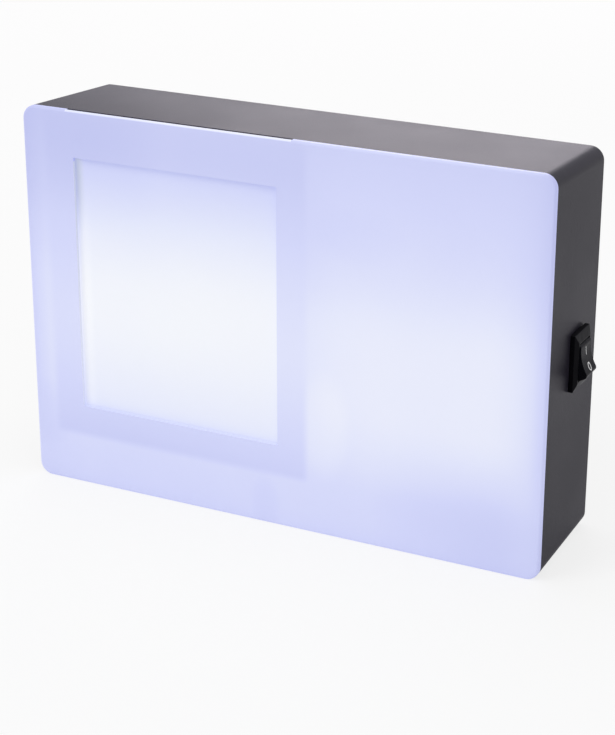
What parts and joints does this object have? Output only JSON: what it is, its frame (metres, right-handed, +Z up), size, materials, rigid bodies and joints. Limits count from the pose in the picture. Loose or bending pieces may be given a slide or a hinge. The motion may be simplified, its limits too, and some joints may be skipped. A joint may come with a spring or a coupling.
{
  "type": "cinema light box",
  "caption": "Small free-standing light box: opal writing panel with a photo window and loading slot, black tub, side rocker switch, battery door on the back.",
  "frame": {"origin": "middle of the bottom face that the box stands on", "axes": "+Z up, the opal panel faces -Y, the switch is on the +X side"},
  "size_m": [0.1518, 0.037, 0.1055],
  "materials": {
    "opal_panel": "satin opal acrylic, lit from behind",
    "opal_backing": "thin opal acrylic, lit from behind",
    "black_housing": "fine-grained satin black ABS",
    "switch_black": "smooth black nylon",
    "rocker_black": "smooth black nylon with white I and O marks",
    "white_card": "matte white card",
    "board_white": "white solder mask",
    "led_yellow": "white package with pale phosphor",
    "chip_black": "thick-film chip",
    "screw_steel": "zinc-plated steel",
    "spring_steel": "nickel-plated spring steel",
    "contact_steel": "nickel-plated steel strip",
    "contact_brass": "tinned brass",
    "cell_can": "plain printed sleeve over a steel can",
    "wire_red": "PVC insulation",
    "wire_black": "PVC insulation",
    "wire_white": "PVC insulation"
  },
  "bodies": {
    "case": {"front_panel": "opal_panel", "pocket_back": "opal_backing", "rear_housing": "black_housing", "battery_1": "cell_can", "battery_2": "cell_can", "battery_3": "cell_can", "battery_spring_1": "spring_steel", "battery_spring_2": "spring_steel", "battery_spring_3": "spring_steel", "contact_positive": "contact_steel", "contact_negative": "contact_steel", "contact_bridge_left": "contact_steel", "contact_bridge_right": "contact_steel", "reflector_sheet": "white_card", "led_board": "board_white", "leds": "led_yellow", "resistors": "chip_black", "board_screws": "screw_steel", "switch_body": "switch_black", "terminal_common": "contact_brass", "terminal_on": "contact_brass", "red_wire": "wire_red", "switch_wire": "wire_white", "black_wire": "wire_black"},
    "rocker": {"switch_rocker": "rocker_black", "rocker_plunger": "contact_brass", "rocker_spring": "spring_steel"},
    "seesaw": {"contact_arm": "contact_brass"},
    "door": {"battery_door": "black_housing"}
  },
  "joints": [
    {"name": "rocker_tilt", "type": "hinge", "parent": "case", "child": "rocker", "pos_m": [0.07459, 0.0033, 0.0528], "axis": [0, 1, 0], "range_deg": [0, 29]},
    {"name": "seesaw_tilt", "type": "hinge", "parent": "case", "child": "seesaw", "pos_m": [0.06984, 0.0033, 0.0528], "axis": [0, 1, 0], "range_deg": [-20, 0]},
    {"name": "door_swing", "type": "hinge", "parent": "case", "child": "door", "pos_m": [0, 0.0185, 0.029], "axis": [-1, 0, 0], "range_deg": [0, 90]}
  ],
  "couplings": [
    {"joint": "seesaw_tilt", "follows": "rocker_tilt", "ratio": -0.6896}
  ]
}
